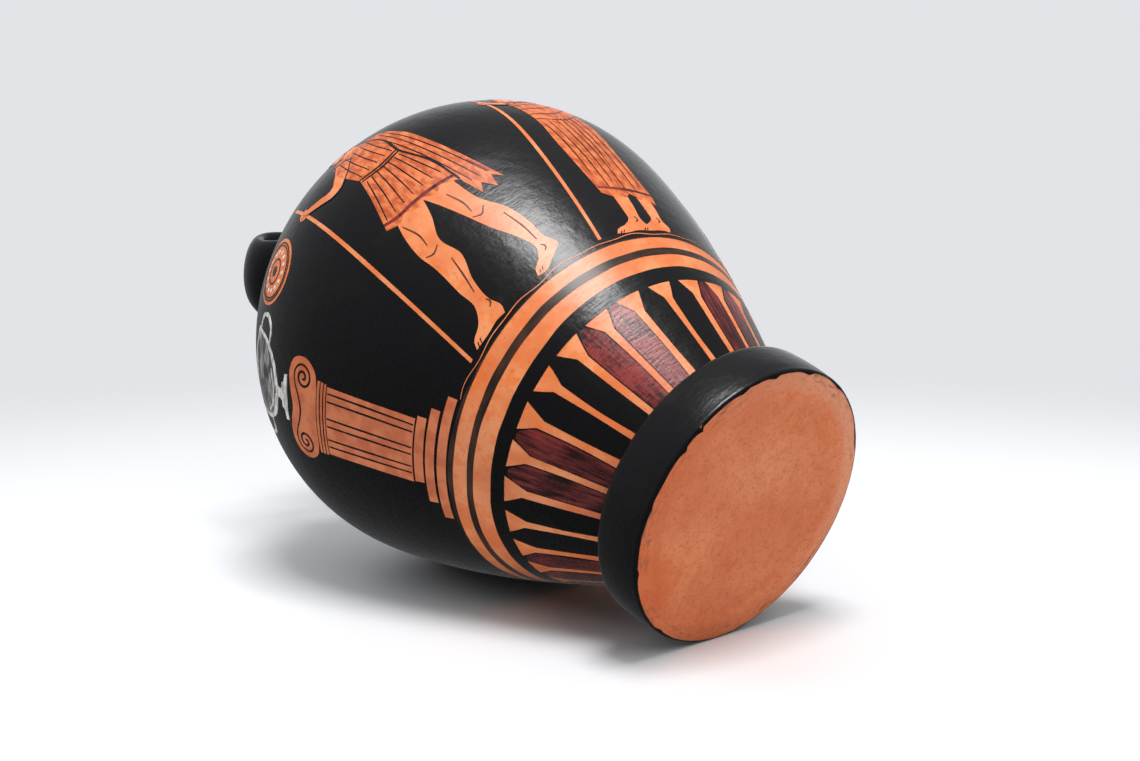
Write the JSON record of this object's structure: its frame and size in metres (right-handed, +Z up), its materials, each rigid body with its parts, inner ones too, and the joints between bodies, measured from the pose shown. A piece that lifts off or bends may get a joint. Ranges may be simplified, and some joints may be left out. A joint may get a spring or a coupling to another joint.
{
  "type": "lekythos",
  "caption": "Ovoid fired-clay oil bottle on a disc foot, with a narrow neck, a bell mouth and a strap handle, painted black and red with rings, tongues and figures.",
  "frame": {"origin": "centre of the foot's underside, on the plane that the standing ring rests on", "axes": "+Z up through the mouth along the wheel axis, handle towards -X"},
  "size_m": [0.1442, 0.1442, 0.212],
  "materials": {
    "painted_clay": "satin",
    "luting_slip": "satin"
  },
  "bodies": {
    "root": {"foot": "painted_clay", "body": "painted_clay", "neck": "painted_clay", "mouth": "painted_clay", "handle": "painted_clay", "foot_slip": "luting_slip", "neck_slip": "luting_slip", "mouth_slip": "luting_slip", "handle_tip_slip": "luting_slip", "handle_root_slip": "luting_slip"}
  },
  "joints": []
}
